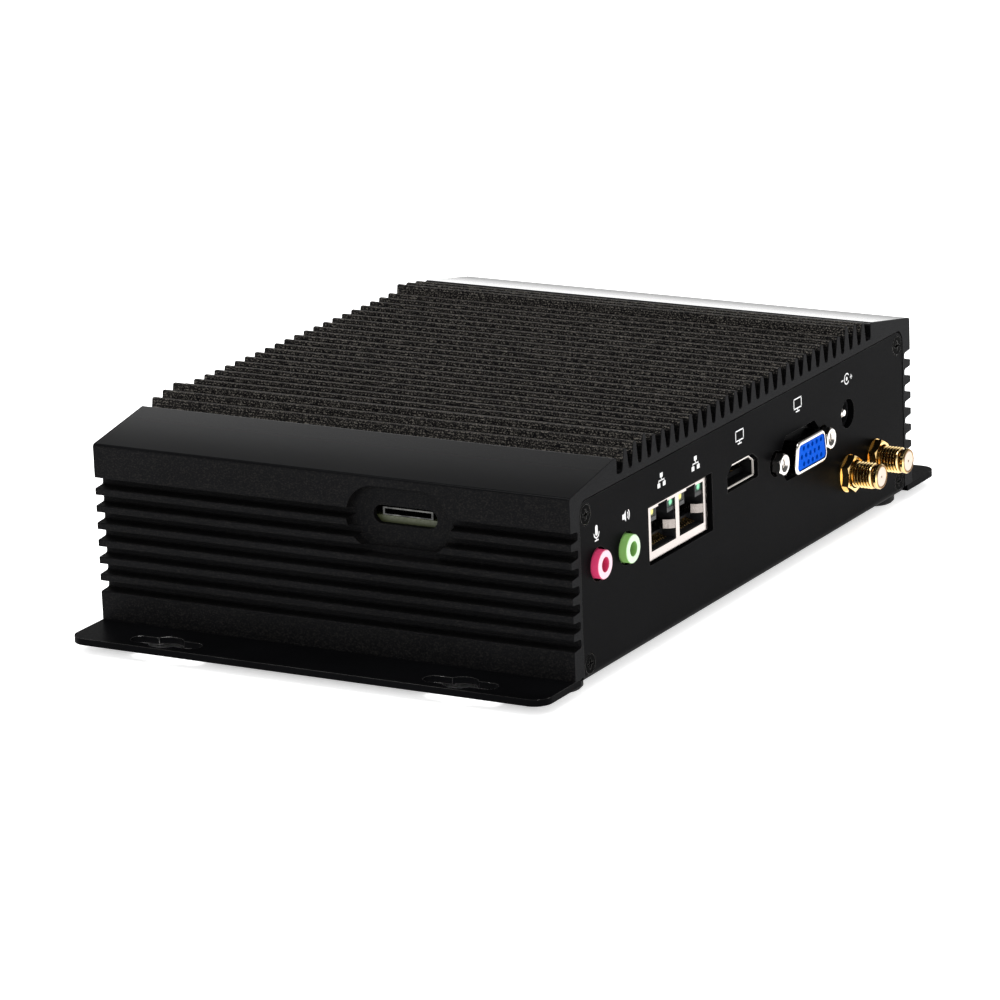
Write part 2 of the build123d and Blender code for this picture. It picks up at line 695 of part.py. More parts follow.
with BuildPart() as antenna_connectors:
    with BuildSketch(at_y(-panel_in_y + 3.5)):
        with Locations(*antenna_spots):
            RegularPolygon(4.0, 6, major_radius=False)
    extrude(amount=3.5)
    with BuildSketch(at_y(-panel_in_y)):
        with Locations(*antenna_spots):
            Circle(antenna_neck_r)
    extrude(amount=panel_y - panel_in_y + washer_t + nut_t + gap)
    with BuildSketch(at_y(thread_y)):
        with Locations(*antenna_spots):
            Circle(antenna_r)
    extrude(amount=thread_y - antenna_tip_y)
    chamfer(antenna_connectors.edges().group_by(Axis.Y)[0], 0.5)
    with Locations(*[end_spot(x, antenna_tip_y, z) for x, z in antenna_spots]):
        Hole(2.45, depth=8.5)
    with Locations(*[end_spot(x, -panel_in_y + 3.5, z) for x, z in antenna_spots]):
        Cylinder(1.6, 4.0, align=(Align.CENTER, Align.CENTER, Align.MAX))

with BuildPart() as antenna_washers:
    with BuildSketch(at_y(-panel_y)):
        with Locations(*antenna_spots):
            Circle(washer_r)
            Circle(antenna_r + gap, mode=Mode.SUBTRACT)
    extrude(amount=washer_t)

with BuildPart() as antenna_nuts:
    with BuildSketch(at_y(-panel_y - washer_t)):
        with Locations(*antenna_spots):
            RegularPolygon(4.0, 6, major_radius=False, rotation=30)
    extrude(amount=nut_t)
    with BuildSketch(at_y(-panel_y - washer_t - nut_t)):
        with Locations(*antenna_spots):
            Circle(4.1)
    extrude(amount=-nut_t, taper=-60, mode=Mode.INTERSECT)
    with BuildSketch(at_y(-panel_y - washer_t)):
        with Locations(*antenna_spots):
            Circle(antenna_r + gap)
    extrude(amount=nut_t, mode=Mode.SUBTRACT)

with BuildPart() as antenna_insulators:
    with BuildSketch(at_y(antenna_tip_y + 8.5)):
        with Locations(*antenna_spots):
            Circle(2.15)
            Circle(0.95, mode=Mode.SUBTRACT)
    extrude(amount=7.9)

with BuildPart() as antenna_contacts:
    with BuildSketch(at_y(antenna_tip_y + 8.5)):
        with Locations(*antenna_spots):
            Circle(0.65)
    extrude(amount=7.6)
    with Locations(*[end_spot(x, antenna_tip_y + 0.9, z) for x, z in antenna_spots]):
        Hole(0.4, depth=3)

with BuildPart() as antenna_cables:
    for x, card_x in zip(antenna_x, (52, 62)):
        with BuildLine() as lead:
            Polyline((x, -panel_in_y + 7.5, antenna_z), (x, -45, antenna_z), (card_x, -7, 22),
                     (card_x, -7, board_z - 4.15))
        with BuildSketch(at_y(-panel_in_y + 7.5)):
            with Locations((x, antenna_z)):
                Circle(0.55)
        sweep(path=lead.line, transition=Transition.RIGHT)

# Rear end: stacked data sockets, power button and lamps

usb_y = (panel_y + 0.6 - usb_l, panel_y + 0.6)
usb_mouth_z = [board_z - 4.0, board_z - 11.6]

with BuildPart() as usb_shells:
    for x in usb_x:
        block((x - usb_w / 2, x + usb_w / 2), usb_y, (board_z - usb_h, board_z))
        for z in usb_mouth_z:
            block((x - usb_mouth_w / 2, x + usb_mouth_w / 2), (usb_y[0] + 3, usb_y[1]),
                  (z - usb_mouth_h / 2, z + usb_mouth_h / 2), Mode.SUBTRACT)
    fillet(usb_shells.edges().filter_by(Axis.Y), 0.25)

with BuildPart() as usb_tongues:
    with Locations(*[(x, usb_y[0] + 3, z + 1.0) for x in usb_x for z in usb_mouth_z]):
        Box(11.1, usb_l - 4.5, 1.84, align=(Align.CENTER, Align.MIN, Align.CENTER))

button_spot = (button_x, button_z)
button_top_y = panel_y + 1.5
sleeve_in_y = panel_y - 5.15

with BuildPart() as power_button_ring:
    with BuildSketch(at_y(panel_y + 1.1)):
        with Locations(button_spot):
            Circle(ring_r)
    extrude(amount=1.1)
    chamfer(power_button_ring.edges().group_by(Axis.Y)[-1], 0.5)
    with BuildSketch(at_y(panel_y)):
        with Locations(button_spot):
            Circle(ring_r - 1.0 - gap)
    extrude(amount=panel_y - sleeve_in_y)
    with Locations(end_spot(button_x, panel_y + 1.1, button_z)):
        Hole(button_r + 0.05, depth=12)
        with Locations((0, 0, -3.2)):
            Cylinder(button_r + 0.75, 10, align=(Align.CENTER, Align.CENTER, Align.MAX),
                     mode=Mode.SUBTRACT)

with BuildPart() as power_button_nut:
    with BuildSketch(at_y(panel_in_y)):
        with Locations(button_spot):
            RegularPolygon(8.0, 6)
            Circle(ring_r - 1.0, mode=Mode.SUBTRACT)
    extrude(amount=2.0)

with BuildPart() as power_button:
    with BuildSketch(at_y(button_top_y)):
        with Locations(button_spot):
            Circle(button_r)
    extrude(amount=4.8)
    chamfer(power_button.edges().group_by(Axis.Y)[-1], 0.4)
    with BuildSketch(at_y(panel_y - 2.1)):
        with Locations(button_spot):
            Circle(button_r + 0.4)
    extrude(amount=1.2)
    with BuildSketch(at_y(panel_y - 3.3)):
        with Locations(button_spot):
            Circle(1.2)
    extrude(amount=4.0)

with BuildPart() as power_switch:
    block((button_x - 6, button_x + 6), (46.5, sleeve_in_y - 0.5), (button_z - 6, board_z))
    block((button_x - 5, button_x + 5), (sleeve_in_y - 1.7, sleeve_in_y), (button_z + 5.5, board_z),
          Mode.SUBTRACT)
    with Locations(end_spot(button_x, sleeve_in_y - 0.5, button_z)):
        Hole(1.5, depth=5)

with BuildPart() as status_lamps:
    for z in lamp_z:
        with BuildSketch(at_y(panel_y + 0.5)):
            with Locations((lamp_x, z)):
                Circle(lamp_r)
        extrude(amount=9)
    chamfer(status_lamps.edges().filter_by(GeomType.CIRCLE).group_by(Axis.Y)[-1], 0.4)
    block((lamp_x - 2.5, lamp_x + 2.5), (49, panel_y - 6), (lamp_z[0] - 2.5, board_z))

pieces = {
    "heatsink_shell": heatsink_shell,
    "chassis": chassis,
    "panel_screws": panel_screws,
    "rubber_feet": rubber_feet,
    "main_board": main_board,
    "board_posts": board_posts,
    "board_screws": board_screws,
    "processor": processor,
    "thermal_pad": thermal_pad,
    "heat_block": heat_block,
    "memory_socket": memory_socket,
    "memory_module": memory_module,
    "card_sockets": card_sockets,
    "storage_card": storage_card,
    "wireless_card": wireless_card,
    "coin_cell_holder": coin_cell_holder,
    "coin_cell": coin_cell,
    "power_coils": power_coils,
    "capacitors": capacitors,
    "controller_chips": controller_chips,
    "sim_card_socket": card_socket,
    "audio_housings": audio_housings,
    "mic_jack": mic_jack,
    "speaker_jack": speaker_jack,
    "network_shell": network_shell,
    "network_insert": network_insert,
    "network_contacts": network_contacts,
    "network_lamps_left": network_lamps_left,
    "network_lamps_right": network_lamps_right,
    "hd_port_shell": hd_shell,
    "hd_port_tongue": hd_tongue,
    "vga_shell": vga_shell,
    "vga_insert": vga_insert,
    "jackscrews": jackscrews,
    "dc_jack": dc_jack,
    "dc_pin": dc_pin,
    "dc_spring": dc_spring,
    "antenna_connectors": antenna_connectors,
    "antenna_washers": antenna_washers,
    "antenna_nuts": antenna_nuts,
    "antenna_insulators": antenna_insulators,
    "antenna_contacts": antenna_contacts,
    "antenna_cables": antenna_cables,
    "usb_shells": usb_shells,
    "usb_tongues": usb_tongues,
    "power_button_ring": power_button_ring,
    "power_button_nut": power_button_nut,
    "power_button": power_button,
    "power_switch": power_switch,
    "status_lamps": status_lamps,
}

to_outline_middle = Location((0, -(antenna_tip_y + button_top_y) / 2, 0))

for name, piece in pieces.items():
    placed = piece.part.moved(to_outline_middle)
    placed.label = name
    export_step(placed, f"parts/{name}.step")
    print(name, len(placed.solids()), round(placed.volume, 1))
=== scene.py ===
import bmesh
import bpy
from math import cos, pi, radians, sin
from mathutils import Matrix, Vector


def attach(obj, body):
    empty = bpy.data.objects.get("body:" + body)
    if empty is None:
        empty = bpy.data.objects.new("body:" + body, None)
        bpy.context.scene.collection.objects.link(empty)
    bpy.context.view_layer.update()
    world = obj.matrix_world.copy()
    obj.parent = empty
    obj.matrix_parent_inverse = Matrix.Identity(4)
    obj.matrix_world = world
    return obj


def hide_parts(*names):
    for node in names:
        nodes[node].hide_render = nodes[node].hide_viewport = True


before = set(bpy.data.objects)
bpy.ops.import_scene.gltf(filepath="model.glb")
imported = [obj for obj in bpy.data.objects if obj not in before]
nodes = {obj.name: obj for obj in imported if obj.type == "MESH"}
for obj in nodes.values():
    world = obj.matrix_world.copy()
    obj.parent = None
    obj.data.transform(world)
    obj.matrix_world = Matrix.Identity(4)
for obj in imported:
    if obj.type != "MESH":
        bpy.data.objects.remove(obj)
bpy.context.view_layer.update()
mm = 0.001
middleY = 4.05  # mm, the middle of the heatsink shell in the frame
panelY = middleY - 61.95  # outer face of the end panel with the sockets
antennaSpots = ((50.35, 15.95), (65.45, 15.95))  # X and Z of the two connectors' axes

print("materials")


class Shade:
    # A shader socket that takes part in sums like a number.
    def __init__(self, tree, socket=None):
        self.tree = tree
        self.socket = socket

    def node(self, kind, settings=None, inputs=None, output=0):  # any other node: type, settings, inputs
        made = self.tree.nodes.new(kind)
        for name, value in (settings or {}).items():
            setattr(made, name, value)
        for name, value in (inputs or {}).items():
            if isinstance(value, Shade):
                self.tree.links.new(value.socket, made.inputs[name])
            else:
                made.inputs[name].default_value = value
        return Shade(self.tree, made.outputs[output])

    def maths(self, operation, first, second=0.0):
        return self.node("ShaderNodeMath", {"operation": operation}, {0: first, 1: second})

    def __add__(self, other):
        return self.maths("ADD", self, other)

    def __radd__(self, other):
        return self.maths("ADD", other, self)

    def __sub__(self, other):
        return self.maths("SUBTRACT", self, other)

    def __rsub__(self, other):
        return self.maths("SUBTRACT", other, self)

    def __mul__(self, other):
        return self.maths("MULTIPLY", self, other)

    def __rmul__(self, other):
        return self.maths("MULTIPLY", other, self)

    def below(self, level):
        return self.maths("LESS_THAN", self, level)

    def above(self, level):
        return self.maths("GREATER_THAN", self, level)

    def size(self):
        return self.maths("ABSOLUTE", self)

    def spread(self, fromLow, fromHigh, toLow, toHigh):  # carry a range over to another, smooth and clamped
        return self.node("ShaderNodeMapRange", {"interpolation_type": "SMOOTHSTEP"},
                         {"Value": self, "From Min": fromLow, "From Max": fromHigh,
                          "To Min": toLow, "To Max": toHigh})

    def between(self, low=0, high=1):  # most of a noise lies from 0.3 to 0.7, carried over to a range
        return self.spread(0.3, 0.7, low, high)

    def vector(self, operation, other=(0, 0, 0), output=0):  # sums of places and directions
        return self.node("ShaderNodeVectorMath", {"operation": operation}, {0: self, 1: other}, output)

    def part(self, axis):  # X, Y or Z of a vector, given as 0, 1 or 2
        return self.node("ShaderNodeSeparateXYZ", {}, {0: self}, axis)

    def noise(self, scale, detail=2.0):  # noise over a place
        return self.node("ShaderNodeTexNoise", {}, {"Vector": self, "Scale": scale, "Detail": detail})


def blendColours(mask, low, high):  # low and high may be plain colours or sockets
    low, high = (tone if isinstance(tone, Shade) else (*tone, 1) for tone in (low, high))
    return mask.node("ShaderNodeMix", {"data_type": "RGBA"}, {0: mask, 6: low, 7: high}, 2)


def link(material, name, value):  # join a socket of the sums to an input of the main shader
    material.node_tree.links.new(value.socket, material.node_tree.nodes["Principled BSDF"].inputs[name])


def setPlain(material, values):  # constants on the main shader's own sockets
    inputs = material.node_tree.nodes["Principled BSDF"].inputs
    for name, value in values.items():
        inputs[name].default_value = value


def startMaterial(name, stretch=(1, 1, 1)):  # a new material with its place, plain and stretched
    material = bpy.data.materials.new(name)
    material.use_nodes = True
    place = Shade(material.node_tree).node("ShaderNodeTexCoord", output="Object")
    mapped = place.node("ShaderNodeMapping", {}, {"Vector": place, "Scale": stretch})
    return material, place, mapped


def roundedRelief(place, height, look):  # normals of rounded edges, and those with the relief added
    rounded = place.node("ShaderNodeBevel", {"samples": 4}, {"Radius": look.get("edge", 0.12) * mm})
    relief = place.node("ShaderNodeBump", {}, {"Height": height, "Strength": look["bump"],
                                               "Distance": look.get("height", 0.1) * mm, "Normal": rounded})
    return rounded, relief


edgeWearAndGlint = {"metal": (0.62, 0.61, 0.59), "bend": (0.86, 0.99), "patches": (0.35, 0.6, 0.3, 1.0),
        "glintBend": (0.80, 0.97), "glintNoise": (0.54, 0.62), "glintScale": 420.0}


# Bare metal on edges, partly edge wear and partly painted glints: the rounded normal turns away from the
# face's own at an edge.
def wornAndGlintingEdges(look, place, mapped, cloud, rounded):
    flat = place.node("ShaderNodeNewGeometry", output="True Normal")
    bend = rounded.vector("DOT_PRODUCT", flat, "Value")  # 1 on a flat face, less at an edge
    wearAndGlints = bend.spread(*edgeWearAndGlint["bend"], look["edgeWearAndGlint"], 0.0) * cloud.spread(*edgeWearAndGlint["patches"])
    if "glintX" in look:  # painted glints: bright bare-metal spots along the edges of the ears' keyholes
        aside = place.part(0).size()
        onHoles = aside.above(look["glintX"][0] * mm) * aside.below(look["glintX"][1] * mm)
        spots = mapped.noise(edgeWearAndGlint["glintScale"]).spread(*edgeWearAndGlint["glintNoise"], 0, 1)
        wearAndGlints = wearAndGlints + bend.spread(*edgeWearAndGlint["glintBend"], 1.0, 0.0) * spots * onHoles
    return wearAndGlints


# Painted shade in the roots of a thread, by the distance from the nearer connector's axis, which lies along
# Y.
def threadRootShade(look, place):
    reach = place.node("ShaderNodeValue")
    reach.socket.default_value = 1.0
    for x, z in look["axes"]:
        offset = place.vector("SUBTRACT", (x * mm, 0, z * mm)).vector("MULTIPLY", (1, 0, 1))
        reach = reach.maths("MINIMUM", reach, offset.vector("LENGTH", output="Value"))
    full, gone, bore = [radius * mm for radius in look["rootR"]]
    return reach.spread(full, gone, 1, 0) * reach.above(bore)


# One procedural material from its dictionary: two tones of colour, grain in roughness and relief,
# rounded edges, and, where a look asks for them, edge wear with painted glints, a paler front and painted
# shade in thread roots.
def newMaterial(name, look):
    material, place, mapped = startMaterial(name, look.get("stretch", (1, 1, 1)))
    grain = mapped.noise(look["grain"], detail=3.0)
    cloud = mapped.noise(look.get("cloud", 45.0))
    rounded, relief = roundedRelief(place, grain, look)
    colour = blendColours(cloud.between(), *look["colour"])
    setPlain(material, {"Metallic": look.get("metal", 0.0), "Specular IOR Level": look.get("shine", 0.5),
                        "Specular Tint": (*look.get("tint", (1, 1, 1)), 1),
                        "Coat Weight": look.get("coat", 0.0)})
    # Bare metal at the edges, which is edge wear and painted glints.
    if "edgeWearAndGlint" in look:
        wearAndGlints = wornAndGlintingEdges(look, place, mapped, cloud, rounded)
        colour = blendColours(wearAndGlints, colour, edgeWearAndGlint["metal"])
        link(material, "Metallic", wearAndGlints)
    if "front" in look:  # paler where Y is less than frontY, towards the sockets' side: a painted highlight on the audio jacks' faces, and on the port shells all but the front is painted shade
        colour = blendColours(place.part(1).below(look["frontY"] * mm), colour, look["front"])
    # Painted shade in the roots of a thread.
    if "axes" in look:
        colour = blendColours(threadRootShade(look, place), colour, look["root"])
    link(material, "Base Color", colour)
    link(material, "Roughness", grain.between(*look["rough"]))
    link(material, "Normal", relief)
    return material


# The extrusion's anodised skin: smooth shoulders, blasted fins and sides with painted sparkle, painted shade
# deep between the fins, machined ends.
def newShellMaterial(name, look):
    material, place, mapped = startMaterial(name, look["stretch"])
    x = place.part(0).size()
    y = (place.part(1) - middleY * mm).size()
    z = place.part(2)
    upper = z.above(look["topZ"] * mm)
    shoulder = x.above(look["shoulderX"] * mm) * upper
    fins = upper * (1.0 - shoulder)
    end = y.above(look["endY"] * mm)
    blasted = (1.0 - shoulder) * (1.0 - end)
    smooth = shoulder * (1.0 - end)
    grain = mapped.noise(look["grain"])
    cloud = mapped.noise(look["cloud"])
    drawn = place.node("ShaderNodeMapping", {}, {"Vector": place, "Scale": look["drawn"]})
    streak = drawn.noise(look["streak"])
    groove = z.maths("SINE", z * (2 * pi / (look["groovePitch"] * mm)))
    combed = 1.0 - fins * groove.spread(*look["combed"])
    lower = x.spread(look["lowFinX"] * mm, look["shoulderX"] * mm, 0, look["finDrop"] * mm)
    gapLight = (z + lower).spread(look["gapShadeZ"][0] * mm, look["gapShadeZ"][1] * mm, 0, 1)  # 0 deep in a gap, where painted shade darkens the fins and their sparkle
    # Painted sparkle of the blasted grain: full on the fins, which the top light catches, faint on the
    # sides, gone deep in the gaps.
    sparkleByLight = fins * gapLight * look["litFinSparkle"] + look["shadedSideSparkle"]
    paintedSparkle = grain.spread(*look["sparkleRange"], 0, 1) * blasted * combed * sparkleByLight
    colour = blendColours(cloud.between(), *look["colour"])
    # Painted shade deep in the gaps between the fins.
    colour = blendColours(fins * (1.0 - gapLight), colour, look["gapShadeColour"])
    colour = blendColours(end, colour, look["endColour"])
    colour = blendColours(paintedSparkle, colour, look["sparkleColour"])
    relief = roundedRelief(place, (grain + streak * look["streakHeight"]) * blasted, look)[1]
    rough = grain.between(*look["rough"])
    coat = x.spread(look["shoulderX"] * mm, look["sideX"] * mm, *look["coat"])
    link(material, "Base Color", colour)
    link(material, "Roughness", rough * (1.0 - smooth) + smooth * look["shoulderRough"])
    link(material, "Normal", relief)
    link(material, "Coat Weight", smooth * coat)
    setPlain(material, {"Coat Roughness": look["coatRough"], "Specular Tint": (*look["tint"], 1),
                        "Specular IOR Level": look["shine"]})
    return material


# Light guides of the network sockets: a painted glow as a pale spot in the middle of each lamp, dark at its
# rim.
def newLampMaterial(name, look):
    material, place, mapped = startMaterial(name)
    grain = mapped.noise(lampGlow["grain"])
    near = place.node("ShaderNodeValue")
    near.socket.default_value = 1.0
    for spot in look["spots"]:
        near = near.maths("MINIMUM", near, place.vector("DISTANCE", [value * mm for value in spot], "Value"))
    full, gone = [radius * mm for radius in lampGlow["radius"]]
    # The painted glow: full near a spot, ragged at its edge, gone at the rim.
    core = (near + grain * (lampGlow["ragged"] * mm)).spread(full, gone, 1, 0)
    link(material, "Base Color", blendColours(core, look["rim"], look["core"]))
    link(material, "Roughness", grain.between(*lampGlow["rough"]))
    setPlain(material, {"Specular IOR Level": lampGlow["shine"]})
    return material


shellLook = {
    "colour": ((0.0018, 0.0018, 0.0020), (0.0028, 0.0028, 0.0031)), "endColour": (0.0030, 0.0030, 0.0034),
    "sparkleColour": (0.12, 0.11, 0.096), "gapShadeColour": (0.0004, 0.0004, 0.0005), "tint": (0.90, 0.93, 1.0),
    "topZ": 45.5, "shoulderX": 65.2, "sideX": 87.3, "endY": 61.9, "edge": 0.12,
    "gapShadeZ": (48.9, 50.1), "lowFinX": 50.0, "finDrop": 1.7,  # the fins beside the shoulders are lower
    "grain": 4200.0, "stretch": (1, 0.6, 1), "cloud": 45.0, "rough": (0.42, 0.62), "shine": 0.04,
    "sparkleRange": (0.46, 0.72), "litFinSparkle": 1.0, "shadedSideSparkle": 0.07, "bump": 0.7, "height": 0.08,
    "streak": 900.0, "drawn": (1, 0.012, 1), "streakHeight": 0.7,
    "groovePitch": 0.65, "combed": (0.1, 0.9, 0, 0.75),
    "coat": (0.95, 0.15), "coatRough": 0.14, "shoulderRough": 0.3}
lampY = middleY - 60.5
lampZ = 32.0
lampGlow = {"grain": 1400.0, "ragged": 0.5, "radius": (0.6, 1.3), "rough": (0.08, 0.2), "shine": 0.1}
# core: the colour of the painted glow; rim: the lamp's dark colour.
lampLooks = {
    "amberLamp": {"core": (0.85, 0.80, 0.25), "rim": (0.012, 0.016, 0.006),
                  "spots": ((-46.6, lampY, lampZ), (-32.85, lampY, lampZ))},
    "greenLamp": {"core": (0.25, 0.85, 0.45), "rim": (0.004, 0.030, 0.018),
                  "spots": ((-37.5, lampY, lampZ), (-23.75, lampY, lampZ))},
}
audioFrontY = panelY - 1.58
looks = {
    "powderCoat": {"colour": ((0.0016, 0.0016, 0.0018), (0.0024, 0.0024, 0.0027)), "rough": (0.36, 0.42),
                   "grain": 1500.0, "bump": 0.02, "shine": 0.009, "tint": (0.88, 0.92, 1.0),
                   "edgeWearAndGlint": 0.16, "glintX": (92.2, 101.4)},
    # Screw heads: bare metal on their edges, which is wear and painted glints.
    "blackOxide": {"colour": ((0.001, 0.001, 0.001), (0.002, 0.002, 0.002)), "rough": (0.12, 0.25),
                   "grain": 2200.0, "bump": 0.05, "shine": 0.004, "edgeWearAndGlint": 0.5, "edge": 0.08},
    "rubber": {"colour": ((0.006, 0.006, 0.006), (0.012, 0.012, 0.012)), "rough": (0.6, 0.8),
               "grain": 900.0, "bump": 0.3, "shine": 0.2, "edge": 0.3},
    "boardGreen": {"colour": ((0.030, 0.036, 0.013), (0.050, 0.056, 0.022)), "rough": (0.35, 0.55),
                   "grain": 1500.0, "bump": 0.1},
    "nickel": {"colour": ((0.78, 0.74, 0.69), (0.84, 0.81, 0.77)), "rough": (0.07, 0.12),
               "grain": 1500.0, "bump": 0.01, "metal": 1.0, "edge": 0.06},
    "plated": {"colour": ((0.50, 0.45, 0.425), (0.55, 0.50, 0.47)), "rough": (0.12, 0.22),
               "grain": 1500.0, "bump": 0.01, "metal": 1.0, "edge": 0.06},
    "springSteel": {"colour": ((0.25, 0.22, 0.205), (0.32, 0.285, 0.265)), "rough": (0.2, 0.35),
                    "grain": 1500.0, "bump": 0.02, "metal": 1.0, "edge": 0.04},
    # Port shells: dark all over as painted shade, with the HD port's front rim and the VGA shell's front lip
    # in pale nickel.
    "rimmed": {"colour": ((0.006, 0.006, 0.006), (0.012, 0.012, 0.012)), "rough": (0.3, 0.4),
               "grain": 1500.0, "bump": 0.02, "metal": 0.3, "edge": 0.004, "shine": 0.2,
               "front": (0.78, 0.73, 0.68), "frontY": middleY - 60.55},
    "lipped": {"colour": ((0.010, 0.010, 0.010), (0.02, 0.02, 0.02)), "rough": (0.15, 0.25),
               "grain": 1500.0, "bump": 0.02, "metal": 1.0, "edge": 0.05,
               "front": (0.84, 0.80, 0.75), "frontY": middleY - 64.75},
    "darkMetal": {"colour": ((0.03, 0.03, 0.03), (0.10, 0.10, 0.095)), "rough": (0.2, 0.4),
                  "grain": 1500.0, "bump": 0.05, "metal": 1.0, "cloud": 400.0, "edge": 0.05},
    "brushed": {"colour": ((0.36, 0.355, 0.35), (0.44, 0.435, 0.43)), "rough": (0.22, 0.34),
                "grain": 900.0, "bump": 0.05, "metal": 1.0, "stretch": (0.06, 1, 1)},
    "chip": {"colour": ((0.02, 0.02, 0.022), (0.035, 0.035, 0.037)), "rough": (0.5, 0.7),
             "grain": 1500.0, "bump": 0.1},
    "pad": {"colour": ((0.35, 0.36, 0.4), (0.42, 0.43, 0.46)), "rough": (0.7, 0.85),
            "grain": 800.0, "bump": 0.2},
    "milled": {"colour": ((0.6, 0.6, 0.61), (0.72, 0.72, 0.73)), "rough": (0.25, 0.4),
               "grain": 900.0, "bump": 0.1, "metal": 1.0, "stretch": (0.05, 1, 1)},
    "gold": {"colour": ((0.95, 0.62, 0.22), (1.0, 0.72, 0.32)), "rough": (0.07, 0.12),
             "grain": 1500.0, "bump": 0.01, "metal": 1.0, "edge": 0.03},
    "goldThread": {"colour": ((0.98, 0.68, 0.27), (1.0, 0.76, 0.36)), "rough": (0.10, 0.16),
                   "grain": 1500.0, "bump": 0.01, "metal": 1.0, "edge": 0.02,
                   "axes": antennaSpots, "rootR": (2.74, 2.96, 2.47), "root": (0.20, 0.095, 0.022)},
    # Audio jacks: the pale front is a painted highlight on their faces.
    "pink": {"colour": ((0.62, 0.035, 0.12), (0.70, 0.05, 0.16)), "rough": (0.28, 0.4),
             "grain": 1200.0, "bump": 0.04, "front": (0.74, 0.50, 0.57), "frontY": audioFrontY},
    "lime": {"colour": ((0.20, 0.42, 0.10), (0.24, 0.48, 0.13)), "rough": (0.28, 0.4),
             "grain": 1200.0, "bump": 0.04, "front": (0.54, 0.70, 0.50), "frontY": audioFrontY},
    "blue": {"colour": ((0.0, 0.075, 0.54), (0.001, 0.09, 0.60)), "rough": (0.34, 0.44),
             "grain": 1200.0, "bump": 0.04, "shine": 0.008},
    "deepBlack": {"colour": ((0.001, 0.001, 0.001), (0.002, 0.002, 0.002)), "rough": (0.3, 0.4),
                  "grain": 1400.0, "bump": 0.05, "shine": 0.006},
    "blackPlastic": {"colour": ((0.006, 0.006, 0.007), (0.012, 0.012, 0.013)), "rough": (0.35, 0.5),
                     "grain": 1400.0, "bump": 0.1, "shine": 0.35},
    "ivory": {"colour": ((0.60, 0.50, 0.40), (0.66, 0.56, 0.46)), "rough": (0.3, 0.4),
              "grain": 1400.0, "bump": 0.05},
    "clearLamp": {"colour": ((0.6, 0.63, 0.65), (0.7, 0.72, 0.74)), "rough": (0.15, 0.25),
                  "grain": 1400.0, "bump": 0.05, "coat": 0.5},
    "cable": {"colour": ((0.012, 0.012, 0.012), (0.02, 0.02, 0.02)), "rough": (0.4, 0.5),
              "grain": 1400.0, "bump": 0.05},
    "print": {"colour": ((0.78, 0.78, 0.78), (0.86, 0.86, 0.86)), "rough": (0.45, 0.6),
              "grain": 1400.0, "bump": 0.05},
}
materials = {name: newMaterial(name, look) for name, look in looks.items()}
materials.update({name: newLampMaterial(name, look) for name, look in lampLooks.items()})
materials["anodised"] = newShellMaterial("anodised", shellLook)

nodeLooks = {
    "anodised": ["heatsink_shell"],
    "powderCoat": ["chassis"],
    "blackOxide": ["panel_screws"],
    "rubber": ["rubber_feet"],
    "boardGreen": ["main_board", "memory_module", "storage_card", "wireless_card"],
    "nickel": ["board_posts", "board_screws", "coin_cell", "capacitors", "jackscrews", "dc_pin",
               "dc_spring"],
    "plated": ["network_shell", "usb_shells"],
    "lipped": ["vga_shell"],
    "rimmed": ["hd_port_shell"],
    "darkMetal": ["sim_card_socket"],
    "brushed": ["power_button_ring", "power_button_nut", "power_button"],
    "chip": ["processor", "power_coils", "controller_chips"],
    "pad": ["thermal_pad"],
    "milled": ["heat_block"],
    "gold": ["network_contacts", "antenna_connectors", "antenna_washers", "antenna_nuts",
             "antenna_contacts"],
    "pink": ["mic_jack"],
    "lime": ["speaker_jack"],
    "blue": ["vga_insert"],
    "blackPlastic": ["memory_socket", "card_sockets", "coin_cell_holder", "audio_housings",
                     "network_insert", "dc_jack", "usb_tongues", "power_switch"],
    "deepBlack": ["hd_port_tongue"],
    "ivory": ["antenna_insulators"],
    "amberLamp": ["network_lamps_left"],
    "greenLamp": ["network_lamps_right"],
    "clearLamp": ["status_lamps"],
    "cable": ["antenna_cables"],
}
for look, names in nodeLooks.items():
    for name in names:
        nodes[name].data.materials.clear()
        nodes[name].data.materials.append(materials[look])

nearAxis = 0.001  # mm, where an outline or a filled ring ends beside its own axis


# Scene piece from a form drawn in mm: merged, normals outward, one material, riding on the body.
def newPiece(name, form, look, smooth=False):
    bmesh.ops.remove_doubles(form, verts=form.verts, dist=0.0005)
    bmesh.ops.recalc_face_normals(form, faces=form.faces)
    bmesh.ops.scale(form, verts=form.verts, vec=(mm, mm, mm))
    mesh = bpy.data.meshes.new(name)
    form.to_mesh(mesh)
    form.free()
    if smooth:
        mesh.shade_smooth()
        mesh.set_sharp_from_angle(angle=radians(35))
    mesh.materials.append(materials[look])
    piece = bpy.data.objects.new(name, mesh)
    bpy.context.scene.collection.objects.link(piece)
    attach(piece, "body")
    return piece


def join(form, other):  # add one bmesh to another
    mesh = bpy.data.meshes.new("part")
    other.to_mesh(mesh)
    other.free()
    form.from_mesh(mesh)
    bpy.data.meshes.remove(mesh)


def bar(form, x, y, z):  # box from its two ends along X, Y and Z
    middle = Vector([(ends[0] + ends[1]) / 2 for ends in (x, y, z)])
    size = [ends[1] - ends[0] for ends in (x, y, z)]
    bmesh.ops.create_cube(form, size=1.0, matrix=Matrix.Translation(middle) @ Matrix.Diagonal((*size, 1)))


# Outline of (radius, y) turned round an axis along Y, with a rise along Y in each turn for a thread.
def lathe(form, centre, outline, steps=48, rise=0.0):
    points = [form.verts.new((centre[0] + r, y, centre[1])) for r, y in outline]
    edges = [form.edges.new(pair) for pair in zip(points, points[1:])]
    bmesh.ops.spin(form, geom=points + edges, cent=(centre[0], 0, centre[1]), axis=(0, 1, 0), angle=2 * pi,
                   steps=steps, dvec=(0, rise / steps, 0), use_merge=not rise)


